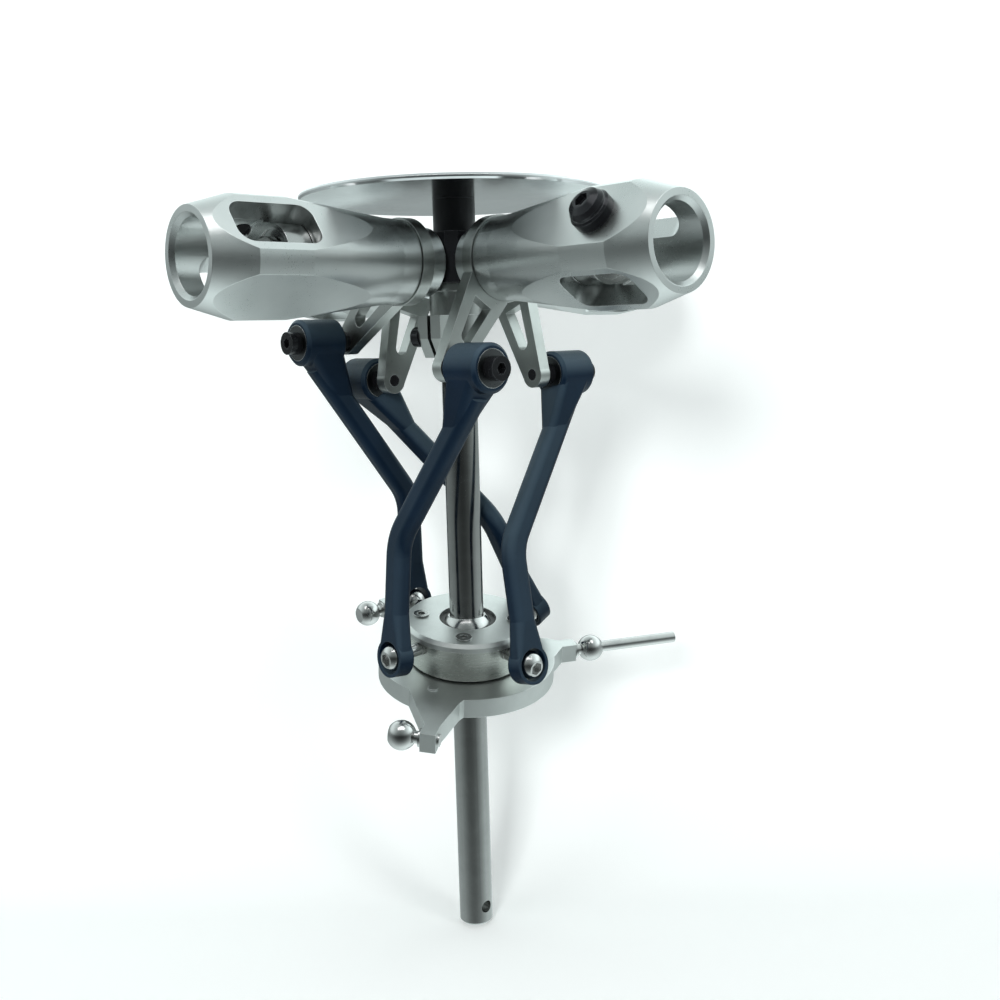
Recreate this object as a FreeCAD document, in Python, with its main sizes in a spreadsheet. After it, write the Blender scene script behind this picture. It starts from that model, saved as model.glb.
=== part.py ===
"""Four-blade rotor head of a model helicopter: mast, hub, blade grips, pitch links, swashplate.

Everything is in millimetres.  The mast stands on the Z axis with its foot at the origin.
The head is drawn with its controls lowered and the swashplate tipped, so the pitch links
hold the four grips at four different angles.  Those angles are worked out below from the
lengths of the pitch arms and links, so the linkage stays closed when a size is changed.
"""
import FreeCAD, Part
import Sketcher
import math
import os
from FreeCAD import Vector, Placement, Rotation, Matrix

doc = FreeCAD.newDocument("rotor_head")

# ---------------------------------------------------------------- driving dimensions

SIZES = dict(
    # mast and hub
    mast_radius=3.0, mast_chamfer=0.5, mast_hole_radius=1.1, mast_hole_height=3.4,
    mast_hole_angle=-47.0,
    hub_height=118.5, hub_half_width=5.4, hub_below=3.4, hub_above=4.9, hub_corner=1.5,
    hub_cap=1.0, post_radius=3.55, post_thread_radius=1.5,
    disc_radius=25.65, disc_thickness=0.9, disc_bottom=10.5, disc_edge=0.3,
    disc_screw_radius=2.6, disc_thread_radius=1.25, disc_screw_length=4.0,
    flange_radius=5.2, flange_thickness=1.3, collar_radius=4.6, collar_height=3.9,
    clamp_radius=4.3, clamp_height=7.0, clamp_reach=7.3, clamp_ear=2.1, clamp_gap=0.7,
    clamp_angle=-128.0, clamp_bevel=1.6, clamp_bore_room=0.6, clamp_screw_shift=0.2, cut_past=1.0,
    clamp_hex=0.64, clamp_hex_depth=0.9,
    clamp_screw_radius=0.8, clamp_head_radius=1.7, clamp_head_height=1.5,
    # spindles and bearings
    spindle_radius=2.0, spindle_root=3.6, cap_screw_radius=3.2, cap_screw_height=1.4, cap_room=0.3,
    cap_hex=1.2, cap_hex_depth=1.12,
    seat_radius=5.2, bearing_width=4.0, inner_bearing_start=12.6, outer_bearing_start=31.2,
    thrust_width=4.2, thrust_groove=0.7, seal_recess=0.25, ring_rim=0.75,
    # blade grips
    spigot_start=6.0, spigot_radius=5.6, spigot_bevel=0.7, root_hole_radius=2.5, shoulder_start=12.3,
    shoulder_radius=6.7, neck_end=15.8, neck_radius=6.85, band_start=33.5, band_end=42.3,
    band_radius=9.0, grip_end=48.6, end_radius=7.15, socket_radius=5.45, mouth_radius=6.1,
    mouth_bevel=0.7, flat_distance=7.5,
    window_centre=37.6, window_length=13.6, window_width=7.4, window_corner=2.3,
    grip_bolt_place=38.2, grip_bolt_radius=1.5, grip_head_radius=2.85,
    grip_head_height=1.65, head_rim_share=0.25, head_dome_share=0.7, dome_share=0.85,
    dome_top_share=0.5, bolt_tip_room=0.15,
    boss_radius=3.2, boss_height=1.7, boss_bevel=0.3, hex_half=1.0, hex_depth=1.0,
    # pitch arms
    arm_start=10.0, arm_thickness=2.2, arm_ring_radius=7.0, arm_length=20.5,
    arm_tip_radius=2.25, arm_width=4.4, slot_start=8.3, slot_end=14.6, slot_wide=1.95,
    slot_narrow=1.2, pivot_radius=1.0, tip_share=0.99,
    # pitch links
    link_length=48.42, link_head_start=14.1, link_head_length=7.7, link_head_radius=3.9,
    link_head_bevel=0.5, link_bend=28.4, link_knee=3.9, bend_radius=9.0,
    rod_width=4.1, rod_depth=3.4, rod_corner=1.3, flare_drop=10.5, flare_top=1.2,
    flare_sink=0.3, flare_room=0.35,
    foot_length=7.5, eye_radius=3.3, eye_half_width=3.15, eye_thickness=2.8, eye_corner=0.5,
    eye_play=0.35,
    link_bearing_radius=3.0, link_bearing_width=2.5, pivot_head_radius=1.9,
    pivot_head_height=2.0, pivot_hex=0.798, pivot_hex_depth=1.2, spacer_radius=1.8,
    # swashplate
    link_slack=0.324, tilt_angle=11.58, tilt_direction=-72.6,
    ball_circle=15.9, ball_level=0.3, ball_radius=2.4, ball_neck=1.15, ball_flange=1.25,
    ball_flange_height=0.6, ball_front=1.95, ball_hex_depth=1.4,
    uniball_radius=4.7, uniball_half=3.3, race_top=2.5, race_bottom=2.7, race_radius=5.9,
    race_neck_radius=5.0,
    plate_top=3.0, plate_thickness=1.4, plate_radius=11.2, plate_bevel=0.6,
    plate_screw_circle=8.25, plate_screw_radius=1.4, plate_screw_height=0.8,
    plate_screw_proud=0.3, plate_screw_hex=0.65, plate_hex_depth=0.56,
    plate_thread_radius=0.75, plate_screw_length=3.4,
    star_radius=10.25, groove_depth=0.35, groove_height=0.4, star_bottom=4.2,
    star_hole_radius=5.3, star_spigot_radius=8.2, spigot_bottom=7.9,
    ring_top=4.6, ring_bottom=7.9, ring_radius=15.7, ring_lip=0.8, ring_lip_radius=9.2,
    bearing_outer_radius=11.4,
    ear_half_width=1.3, ear_tip_length=2.9, ear_lead=33.0, ear_trail=9.0,
    ear_root_radius=14.4,
    front_ear_angle=-101.2, front_ear_reach=27.2, rear_ear_angle=126.1, rear_ear_reach=29.0,
    side_ear_angle=19.0, side_ear_reach=20.8, stud_hole_depth=3.0,
    servo_stand_off=3.3, servo_neck=1.0, servo_flange=1.5, servo_flange_height=0.4,
    pin_reach=41.3, pin_radius=1.0,
    mark_circle=13.4, mark_angle=-113.0, mark_radius=0.9, mark_height=0.35,
    # fits
    running=0.02, seat=0.01, ball_play=0.05,
    grip_turn=-48.0,
)

sheet = doc.addObject("Spreadsheet::Sheet", "Sizes")
for row, (word, size) in enumerate(SIZES.items(), start=1):
    sheet.set(f"A{row}", word)
    sheet.set(f"B{row}", str(size))
    sheet.setAlias(f"B{row}", word)
doc.recompute()


class Cells:
    """Sizes read back from the sheet, as numbers."""

    def __getattr__(self, word):
        return float(sheet.get(word))


size = Cells()
SUBPARTS = []


def value(formula):
    """The number that a formula of sheet words gives; a word stands for its cell."""
    result = sheet.evalExpression(cells(formula))
    return float(getattr(result, "Value", result))


def cells(formula):
    """Write a formula of bare sheet words as a FreeCAD expression."""
    text = str(formula)
    out = ""
    word = ""
    for letter in text + " ":
        if letter.isalnum() or letter == "_":
            word += letter
            continue
        out += f"Sizes.{word}" if word in SIZES else word
        out += letter
        word = ""
    return out.strip()


def bind(thing, setting, formula):
    thing.setExpression(setting, cells(formula))


# ---------------------------------------------------------------- sketch and feature helpers


def new_body(label):
    body = doc.addObject("PartDesign::Body", label)
    body.Label = label
    SUBPARTS.append(body)
    return body


def new_sketch(body, plane, offset=None):
    """A sketch on one of the body's own origin planes, moved along its normal by offset."""
    name = f"{body.Name}_sketch_{len(body.Group)}"
    sketch = body.newObject("Sketcher::SketchObject", name)
    origin = [item for item in body.Origin.OriginFeatures if item.Role == plane + "_Plane"][0]
    sketch.AttachmentSupport = (origin, [""])
    sketch.MapMode = "FlatFace"
    if offset is not None:
        bind(sketch, "AttachmentOffset.Base.z", offset)
    return sketch


def pin_point(sketch, geometry, point, across, up):
    """Hold a sketch point at a place given by two formulas, or by one and its outline."""
    for kind, formula, axis in (("DistanceX", across, -2), ("DistanceY", up, -1)):
        if formula is None:
            continue
        number = value(formula)
        if str(formula) == "0":
            sketch.addConstraint(Sketcher.Constraint("PointOnObject", geometry, point, axis))
            continue
        index = sketch.addConstraint(
            Sketcher.Constraint(kind, -1, 1, geometry, point, number))
        bind(sketch, f"Constraints[{index}]", formula)


def draw_polygon(sketch, corners):
    """A closed outline of straight lines through corners given as pairs of formulas."""
    spots = [Vector(value(across), value(up), 0) for across, up in corners]
    first = sketch.GeometryCount
    count = len(spots)
    for index in range(count):
        sketch.addGeometry(Part.LineSegment(spots[index], spots[(index + 1) % count]))
    for index in range(count):
        following = first + (index + 1) % count
        sketch.addConstraint(Sketcher.Constraint("Coincident", first + index, 2, following, 1))
    for index, (across, up) in enumerate(corners):
        pin_point(sketch, first + index, 1, across, up)


def draw_circle(sketch, across, up, radius):
    centre = Vector(value(across), value(up), 0)
    index = sketch.addGeometry(Part.Circle(centre, Vector(0, 0, 1), value(radius)))
    pin_point(sketch, index, 3, across, up)
    row = sketch.addConstraint(Sketcher.Constraint("Radius", index, value(radius)))
    bind(sketch, f"Constraints[{row}]", radius)


def draw_rounded(sketch, wide, deep, corner, middle="0"):
    """Rounded rectangle: half sizes wide and deep, its centre at middle on the X axis."""
    first = sketch.GeometryCount
    centre_across = value(middle)
    ends = []
    for across, up, start in ((1, 1, 0), (-1, 1, 90), (-1, -1, 180), (1, -1, 270)):
        spot = Vector(centre_across + across * (value(wide) - value(corner)),
                      up * (value(deep) - value(corner)), 0)
        ends.append([spot + heading(start + turn) * value(corner) for turn in (0, 45, 90)])
    for number, arc in enumerate(ends):
        sketch.addGeometry(Part.Arc(*arc))
        sketch.addGeometry(Part.LineSegment(arc[2], ends[(number + 1) % 4][0]))
    for number in range(8):
        following = first + (number + 1) % 8
        sketch.addConstraint(
            Sketcher.Constraint("Tangent", first + number, 2, following, 1))
    signs = (("", ""), ("-", ""), ("-", "-"), ("", "-"))
    for number, (across, up) in enumerate(signs):
        arc = first + 2 * number
        pin_point(sketch, arc, 3, f"{middle} + {across}(({wide}) - {corner})",
                  f"{up}(({deep}) - {corner})")
        row = sketch.addConstraint(Sketcher.Constraint("Radius", arc, value(corner)))
        bind(sketch, f"Constraints[{row}]", corner)


def draw_bulge(sketch, corners, upper, radius):
    """A closed outline whose side after the corner numbered upper is an arc about the origin.

    The arc's two ends leave out the coordinate that the circle gives them.
    """
    ball = value(radius)
    spots = []
    for number, (across, up) in enumerate(corners):
        if across is None:
            level = value(up)
            spots.append(Vector(math.sqrt(ball ** 2 - level ** 2), level, 0))
        elif up is None:
            sign = 1 if number == upper else -1
            spots.append(Vector(value(across),
                                sign * math.sqrt(ball ** 2 - value(across) ** 2), 0))
        else:
            spots.append(Vector(value(across), value(up), 0))
    count = len(spots)
    for number, spot in enumerate(spots):
        following = spots[(number + 1) % count]
        if number == upper:
            circle = Part.Circle(Vector(), Vector(0, 0, 1), ball)
            sketch.addGeometry(Part.ArcOfCircle(circle, math.atan2(following.y, following.x),
                                                math.atan2(spot.y, spot.x)))
        else:
            sketch.addGeometry(Part.LineSegment(spot, following))
    for number in range(count):
        end = 1 if number == upper else 2
        start = 2 if (number + 1) % count == upper else 1
        sketch.addConstraint(Sketcher.Constraint(
            "Coincident", number, end, (number + 1) % count, start))
    sketch.addConstraint(Sketcher.Constraint("Coincident", upper, 3, -1, 1))
    row = sketch.addConstraint(Sketcher.Constraint("Radius", upper, ball))
    bind(sketch, f"Constraints[{row}]", radius)
    for number, (across, up) in enumerate(corners):
        point = 2 if number == upper else 1
        pin_point(sketch, number, point, across, up)


def draw_path(sketch, corners, radius):
    """A straight run up from the first corner and a tangent arc into a slanted run."""
    start, knee, end = (Vector(value(across), value(up), 0) for across, up in corners)
    back = (start - knee).normalize()
    ahead = (end - knee).normalize()
    half = back.getAngle(ahead) / 2
    bend = value(radius)
    tangent = bend / math.tan(half)
    centre = knee + (back + ahead).normalize() * (bend / math.sin(half))
    first = knee + back * tangent
    second = knee + ahead * tangent
    turns = [math.atan2(spot.y - centre.y, spot.x - centre.x) for spot in (second, first)]
    sketch.addGeometry(Part.LineSegment(start, first))
    circle = Part.Circle(centre, Vector(0, 0, 1), bend)
    sketch.addGeometry(Part.ArcOfCircle(circle, turns[0], turns[1] % (2 * math.pi)))
    sketch.addGeometry(Part.LineSegment(second, end))
    sketch.addConstraint(Sketcher.Constraint("Tangent", 0, 2, 1, 2))
    sketch.addConstraint(Sketcher.Constraint("Tangent", 1, 1, 2, 1))
    sketch.addConstraint(Sketcher.Constraint("Vertical", 0))
    pin_point(sketch, 0, 1, *corners[0])
    pin_point(sketch, 2, 2, *corners[2])
    row = sketch.addConstraint(Sketcher.Constraint("Radius", 1, bend))
    bind(sketch, f"Constraints[{row}]", radius)
    slope = math.atan2(end.y - knee.y, end.x - knee.x)
    row = sketch.addConstraint(Sketcher.Constraint("Angle", 2, slope))
    rise = f"({corners[2][1]}) - ({corners[1][1]})"
    run = f"({corners[2][0]}) - ({corners[1][0]})"
    bind(sketch, f"Constraints[{row}]", f"atan2({rise}; {run})")


def feature(body, kind, sketch, length=None, both=False, reverse=False, through=False):
    """A pad or pocket of the sketch; both spreads it to the two sides of its plane."""
    made = body.newObject("PartDesign::" + kind, f"{body.Name}_{kind}_{len(body.Group)}")
    made.Profile = sketch
    made.Midplane = both
    made.Reversed = reverse
    if through:
        made.Type = 1
    else:
        bind(made, "Length", length)
    return made


def turn_sketch(body, sketch, kind="Revolution", axis="V_Axis"):
    """Turn a sketch about one of its own axes."""
    made = body.newObject("PartDesign::" + kind, f"{body.Name}_{kind}_{len(body.Group)}")
    made.Profile = sketch
    made.ReferenceAxis = (sketch, [axis])
    made.Angle = 360.0
    return made


def turned(body, corners, plane="XZ", axis="V_Axis", kind="Revolution"):
    """Turn an outline about an axis of its own sketch."""
    sketch = new_sketch(body, plane)
    draw_polygon(sketch, corners)
    return turn_sketch(body, sketch, kind, axis)


def pad_circle(body, plane, offset, radius, length, across=0, up=0, both=False):
    sketch = new_sketch(body, plane, offset)
    draw_circle(sketch, across, up, radius)
    return feature(body, "Pad", sketch, length, both)


def pocket_circle(body, plane, offset, radius, length, across=0, up=0, both=False,
                  reverse=False):
    sketch = new_sketch(body, plane, offset)
    draw_circle(sketch, across, up, radius)
    return feature(body, "Pocket", sketch, length, both, reverse)


def polar(body, original, axis, count):
    """Repeat a feature round one of the body's own axes."""
    pattern = body.newObject("PartDesign::PolarPattern", f"{body.Name}_pattern")
    pattern.Originals = [original]
    line = [item for item in body.Origin.OriginFeatures if item.Role == axis + "_Axis"][0]
    pattern.Axis = (line, [""])
    pattern.Angle = 360.0
    pattern.Occurrences = count
    body.Tip = pattern
    return pattern


def group(label, pieces):
    """Pieces of one kind that share a node, kept as separate solids."""
    for piece in pieces:
        SUBPARTS.remove(piece)
    together = doc.addObject("Part::Compound", label)
    together.Label = label
    together.Links = pieces
    SUBPARTS.append(together)
    return together


def place(piece, origin, x_axis, z_axis):
    """Stand a piece at origin with its own X and Z along the given directions."""
    y_axis = z_axis.cross(x_axis)
    turn = Matrix(x_axis.x, y_axis.x, z_axis.x, origin.x,
                  x_axis.y, y_axis.y, z_axis.y, origin.y,
                  x_axis.z, y_axis.z, z_axis.z, origin.z,
                  0, 0, 0, 1)
    piece.Placement = Placement(turn)
    return piece


# ---------------------------------------------------------------- the linkage

UP = Vector(0, 0, 1)
HUB = Vector(0, 0, size.hub_height)


def heading(degrees):
    angle = math.radians(degrees)
    return Vector(math.cos(angle), math.sin(angle), 0)


TILT_AXIS = UP.cross(heading(size.tilt_direction))
TILT = Rotation(TILT_AXIS, size.tilt_angle)
SWASH_UP = TILT.multVec(UP)


def grip_heading(index):
    """Direction of a blade, numbered clockwise seen from above."""
    return heading(size.grip_turn - 90.0 * index)


def arm_side(index):
    """Level direction in which the pitch arm of a blade points at zero pitch."""
    return heading(size.grip_turn - 90.0 * (index + 1))


def ball_spoke(index):
    """From the centre of the swashplate to the ball that drives a blade."""
    return TILT.multVec(arm_side(index)) * size.ball_circle + SWASH_UP * size.ball_level


def hang(index):
    """How far below the hub the swashplate hangs where a link keeps its slack."""
    spoke = ball_spoke(index)
    stretch = size.arm_length + size.link_length - size.link_slack
    return math.sqrt(stretch ** 2 - spoke.dot(arm_side(index)) ** 2) + spoke.z


SWASH = HUB - UP * min(hang(quadrant) for quadrant in range(4))


def ball_centre(index):
    """Centre of the swashplate ball that drives a blade."""
    return SWASH + ball_spoke(index)


def arm_droop(index):
    """Angle of a pitch arm below level, in degrees, that closes its link on its ball."""
    ball = ball_centre(index) - HUB
    across = ball.dot(arm_side(index))
    reach = math.hypot(across, ball.z)
    bearing = math.atan2(ball.z, across)
    cosine = (size.arm_length ** 2 + reach ** 2 - size.link_length ** 2)
    cosine = cosine / (2 * size.arm_length * reach)
    spread = math.acos(cosine)
    past_centre = index == 2
    return -math.degrees(bearing - spread if past_centre else bearing + spread)


def arm_direction(index):
    angle = math.radians(arm_droop(index))
    return arm_side(index) * math.cos(angle) - UP * math.sin(angle)


def on_grip(piece, index):
    """Place a piece drawn along X from the hub centre, with its pitch arm towards -Y."""
    blade = grip_heading(index)
    return place(piece, HUB, blade, blade.cross(-arm_direction(index)))


def on_link(piece, index):
    """Place a piece drawn down from the arm pivot, X along the pivot."""
    pivot = HUB + arm_direction(index) * size.arm_length
    ball = ball_centre(index)
    side = arm_side(index)
    down = side * (ball - pivot).dot(side) + UP * (ball - pivot).dot(UP)
    return place(piece, pivot, grip_heading(index), down.normalize() * -1)


def on_star(piece, turn=0.0):
    """Place a piece of the swashplate, turned about the swashplate's own axis."""
    spoke = TILT.multVec(heading(turn))
    return place(piece, SWASH, spoke, SWASH_UP)


# ---------------------------------------------------------------- mast and hub


def main_shaft():
    body = new_body("main_shaft")
    top = "hub_height + hub_above - hub_cap"
    turned(body, [("0", "0"), ("mast_radius - mast_chamfer", "0"),
                  ("mast_radius", "mast_chamfer"), ("mast_radius", top), ("0", top)])
    pocket_circle(body, "XZ", None, "mast_hole_radius", "mast_radius * 4",
                  up="mast_hole_height", both=True)
    body.Placement = Placement(Vector(), Rotation(UP, size.mast_hole_angle - 90.0))


def hub_block():
    """Square block with bevelled corners that the mast and the four spindles enter."""
    body = new_body("hub_block")
    half = "hub_half_width"
    inner = "hub_half_width - hub_corner"
    corners = [(half, f"-({inner})"), (half, inner), (inner, half), (f"-({inner})", half),
               (f"-{half}", inner), (f"-{half}", f"-({inner})"), (f"-({inner})", f"-{half}"),
               (inner, f"-{half}")]
    sketch = new_sketch(body, "XY", "-hub_below")
    draw_polygon(sketch, corners)
    feature(body, "Pad", sketch, "hub_below + hub_above")
    pocket_circle(body, "XY", "-hub_below", "mast_radius + seat",
                  "hub_below + hub_above - hub_cap", reverse=True)
    pocket_circle(body, "XY", "hub_above", "post_thread_radius + seat", "hub_cap")
    bore = pocket_circle(body, "YZ", None, "spindle_radius + seat", "hub_half_width",
                         reverse=True)
    polar(body, bore, "Z", 4)
    place(body, HUB, grip_heading(0), UP)


def top_post():
    body = new_body("top_post")
    thread = "post_thread_radius"
    turned(body, [("0", "hub_above - hub_cap"), (thread, "hub_above - hub_cap"),
                  (thread, "hub_above"), ("post_radius", "hub_above"),
                  ("post_radius", "disc_bottom"), ("0", "disc_bottom")])
    pocket_circle(body, "XY", "disc_bottom", "disc_thread_radius + seat",
                  "disc_screw_length")
    place(body, HUB, grip_heading(0), UP)


def top_disc():
    body = new_body("top_disc")
    top = "disc_bottom + disc_thickness"
    turned(body, [("disc_thread_radius + seat", "disc_bottom"),
                  ("disc_radius - disc_edge", "disc_bottom"),
                  ("disc_radius", "disc_bottom + disc_edge"),
                  ("disc_radius", f"{top} - disc_edge"),
                  ("disc_radius - disc_edge", top),
                  ("disc_screw_radius + seat", top)])
    place(body, HUB, grip_heading(0), UP)


def disc_screw():
    """Countersunk screw, flush with the top of the disc."""
    body = new_body("disc_screw")
    top = "disc_bottom + disc_thickness"
    turned(body, [("0", "disc_bottom - disc_screw_length + disc_edge"),
                  ("disc_thread_radius", "disc_bottom - disc_screw_length + disc_edge"),
                  ("disc_thread_radius", "disc_bottom"), ("disc_screw_radius", top),
                  ("0", top)])
    cut_hex(body, "XY", top, "hex_half", "disc_thickness")
    place(body, HUB, grip_heading(0), UP)


def cut_hex(body, plane, offset, half, depth, reverse=False):
    """Hexagon socket, half across flats, sunk from the face at offset."""
    corner = f"({half}) / cos(30 deg)"
    sketch = new_sketch(body, plane, offset)
    corners = [(f"{corner} * cos({60 * turn} deg)", f"{corner} * sin({60 * turn} deg)")
               for turn in range(6)]
    corners[0] = (corner, "0")
    corners[3] = (f"-{corner}", "0")
    draw_polygon(sketch, corners)
    return feature(body, "Pocket", sketch, depth, reverse=reverse)


def clamp_collar():
    """Silver collar under the hub, split at its foot and pinched by one screw."""
    body = new_body("clamp_collar")
    top = "-hub_below"
    flange = "-hub_below - flange_thickness"
    ledge = "-hub_below - flange_thickness - collar_height"
    foot = "-hub_below - flange_thickness - collar_height - clamp_height"
    bore = "mast_radius + seat"
    turned(body, [(bore, foot), ("clamp_radius", foot), ("clamp_radius", ledge),
                  ("collar_radius", ledge), ("collar_radius", flange),
                  ("flange_radius", flange), ("flange_radius", top), (bore, top)])
    inner = "mast_radius + clamp_bore_room"
    side = "clamp_ear + clamp_gap / 2"
    sketch = new_sketch(body, "XY", foot)
    draw_polygon(sketch, [(inner, f"-({side})"), ("clamp_reach", f"-({side})"),
                          ("clamp_reach", side), (inner, side)])
    feature(body, "Pad", sketch, "clamp_height")
    sketch = new_sketch(body, "XZ")
    draw_polygon(sketch, [("clamp_reach - clamp_bevel", foot), ("clamp_reach", foot),
                          ("clamp_reach", f"{foot} + clamp_bevel * 2")])
    feature(body, "Pocket", sketch, "flange_radius * 2", both=True)
    sketch = new_sketch(body, "XY", foot)
    draw_polygon(sketch, [("0", "-clamp_gap / 2"), ("clamp_reach + cut_past", "-clamp_gap / 2"),
                          ("clamp_reach + cut_past", "clamp_gap / 2"), ("0", "clamp_gap / 2")])
    feature(body, "Pocket", sketch, "clamp_height", reverse=True)
    pocket_circle(body, "XZ", None, "clamp_screw_radius + seat", "flange_radius * 2",
                  across="(clamp_radius + clamp_reach) / 2 + clamp_screw_shift",
                  up=f"{foot} + clamp_height / 2", both=True)
    place(body, HUB, heading(size.clamp_angle), UP)


def clamp_screw():
    body = new_body("clamp_screw")
    side = "clamp_ear + clamp_gap / 2"
    end = f"-({side})"
    head = f"{side} + clamp_head_height"
    turned(body, [("0", end), ("clamp_screw_radius", end), ("clamp_screw_radius", side),
                  ("clamp_head_radius", side), ("clamp_head_radius", head), ("0", head)])
    cut_hex(body, "XY", head, "clamp_hex", "clamp_hex_depth")
    out = heading(size.clamp_angle)
    middle = size.hub_below + size.flange_thickness + size.collar_height
    middle = middle + size.clamp_height / 2
    reach = (size.clamp_radius + size.clamp_reach) / 2 + size.clamp_screw_shift
    place(body, HUB + out * reach - UP * middle, UP, out.cross(UP))


# ---------------------------------------------------------------- blade grips and spindles


def spindle(index):
    """Fixed feathering spindle, screwed into the hub and closed by a broad cap screw."""
    body = new_body(f"spindle_{index + 1}")
    end = "outer_bearing_start + bearing_width"
    cap = f"{end} + cap_screw_height"
    turned(body, [("spindle_root", "0"), ("spindle_root", "spindle_radius"),
                  (end, "spindle_radius"), (end, "cap_screw_radius"),
                  (cap, "cap_screw_radius"), (cap, "0")], axis="H_Axis")
    cut_hex(body, "YZ", cap, "cap_hex", "cap_hex_depth")
    on_grip(body, index)


def bearing_outline(start, width):
    """Section of a sealed ball bearing: broad rings with shallow recessed seals."""
    bore = "spindle_radius + running"
    outer = "seat_radius - seat"
    end = f"{start} + {width}"
    face = f"{start} + seal_recess"
    back = f"{end} - seal_recess"
    return [(start, bore), (start, f"{bore} + ring_rim"), (face, f"{bore} + ring_rim"),
            (face, f"{outer} - ring_rim"), (start, f"{outer} - ring_rim"), (start, outer),
            (end, outer), (end, f"{outer} - ring_rim"), (back, f"{outer} - ring_rim"),
            (back, f"{bore} + ring_rim"), (end, f"{bore} + ring_rim"), (end, bore)]


def grip_bearing(index, word, start):
    body = new_body(f"{word}_bearing_{index + 1}")
    turned(body, bearing_outline(start, "bearing_width"), axis="H_Axis")
    return on_grip(body, index)


def radial_bearings(index):
    """The two ball bearings that carry a grip on its spindle."""
    group(f"grip_bearings_{index + 1}",
          [grip_bearing(index, "inner", "inner_bearing_start"),
           grip_bearing(index, "outer", "outer_bearing_start")])


def thrust_bearing(index):
    """Two hardened washers with the ball cage between them, drawn as one turned piece."""
    body = new_body(f"thrust_bearing_{index + 1}")
    bore = "spindle_radius + running"
    outer = "seat_radius - seat"
    start = "outer_bearing_start - thrust_width - seal_recess"
    first = f"{start} + thrust_width / 3"
    second = f"{start} + thrust_width * 2 / 3"
    end = f"{start} + thrust_width"
    cage = f"{outer} - thrust_groove"
    turned(body, [(start, bore), (start, outer), (first, outer), (first, cage),
                  (second, cage), (second, outer), (end, outer), (end, bore)],
           axis="H_Axis")
    on_grip(body, index)


def blade_grip(index):
    """Turned grip with four milled flats, two windows, and an open socket for the blade."""
    body = new_body(f"blade_grip_{index + 1}")
    socket = "outer_bearing_start + bearing_width + cap_screw_height + cap_room"
    turned(body, [("spigot_start", "root_hole_radius"),
                  ("spigot_start", "spigot_radius - spigot_bevel"),
                  ("spigot_start + spigot_bevel", "spigot_radius"),
                  ("shoulder_start", "spigot_radius"), ("shoulder_start", "shoulder_radius"),
                  ("neck_end", "neck_radius"), ("band_start", "band_radius"),
                  ("band_end", "band_radius"), ("grip_end", "end_radius"),
                  ("grip_end", "mouth_radius"), ("grip_end - mouth_bevel", "socket_radius"),
                  (socket, "socket_radius"), (socket, "seat_radius"),
                  ("inner_bearing_start", "seat_radius"),
                  ("inner_bearing_start", "root_hole_radius")], axis="H_Axis")
    sketch = new_sketch(body, "XY", "flat_distance")
    draw_polygon(sketch, [("neck_end", "-band_radius"), ("grip_end + cut_past", "-band_radius"),
                          ("grip_end + cut_past", "band_radius"), ("neck_end", "band_radius")])
    flat = feature(body, "Pocket", sketch, "band_radius", reverse=True)
    polar(body, flat, "X", 4)
    sketch = new_sketch(body, "XZ")
    draw_rounded(sketch, "window_length / 2", "window_width / 2", "window_corner",
                 "window_centre")
    feature(body, "Pocket", sketch, "band_radius * 2 + 2", both=True)
    pocket_circle(body, "XY", None, "grip_bolt_radius + seat", "band_radius * 2",
                  across="grip_bolt_place", reverse=True)
    on_grip(body, index)


def bolt_piece(index):
    """Button-head bolt on a thick washer; it clamps the blade root inside the grip."""
    body = new_body(f"button_bolt_{index + 1}")
    head = "flat_distance + boss_height"
    top = f"{head} + grip_head_height"
    tip = "socket_radius + bolt_tip_room"
    turned(body, [("0", tip), ("grip_bolt_radius", tip), ("grip_bolt_radius", head),
                  ("grip_head_radius", head),
                  ("grip_head_radius", f"{head} + grip_head_height * head_rim_share"),
                  ("grip_head_radius * dome_share",
                   f"{head} + grip_head_height * head_dome_share"),
                  ("grip_head_radius * dome_top_share", top), ("0", top)])
    cut_hex(body, "XY", top, "hex_half", "hex_depth")
    on_grip(body, index)
    shift = body.Placement.Rotation.multVec(Vector(size.grip_bolt_place, 0, 0))
    body.Placement.Base = body.Placement.Base + shift
    return body


def bolt_washer(index):
    """Thick washer between a grip's flat and the head of its bolt."""
    body = new_body(f"bolt_washer_{index + 1}")
    top = "flat_distance + boss_height"
    turned(body, [("grip_bolt_radius + running", "flat_distance"),
                  ("boss_radius", "flat_distance"), ("boss_radius", f"{top} - boss_bevel"),
                  ("boss_radius - boss_bevel", top), ("grip_bolt_radius + running", top)])
    on_grip(body, index)
    shift = body.Placement.Rotation.multVec(Vector(size.grip_bolt_place, 0, 0))
    body.Placement.Base = body.Placement.Base + shift
    return body


def grip_bolt(index):
    group(f"grip_bolt_{index + 1}", [bolt_piece(index), bolt_washer(index)])


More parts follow.
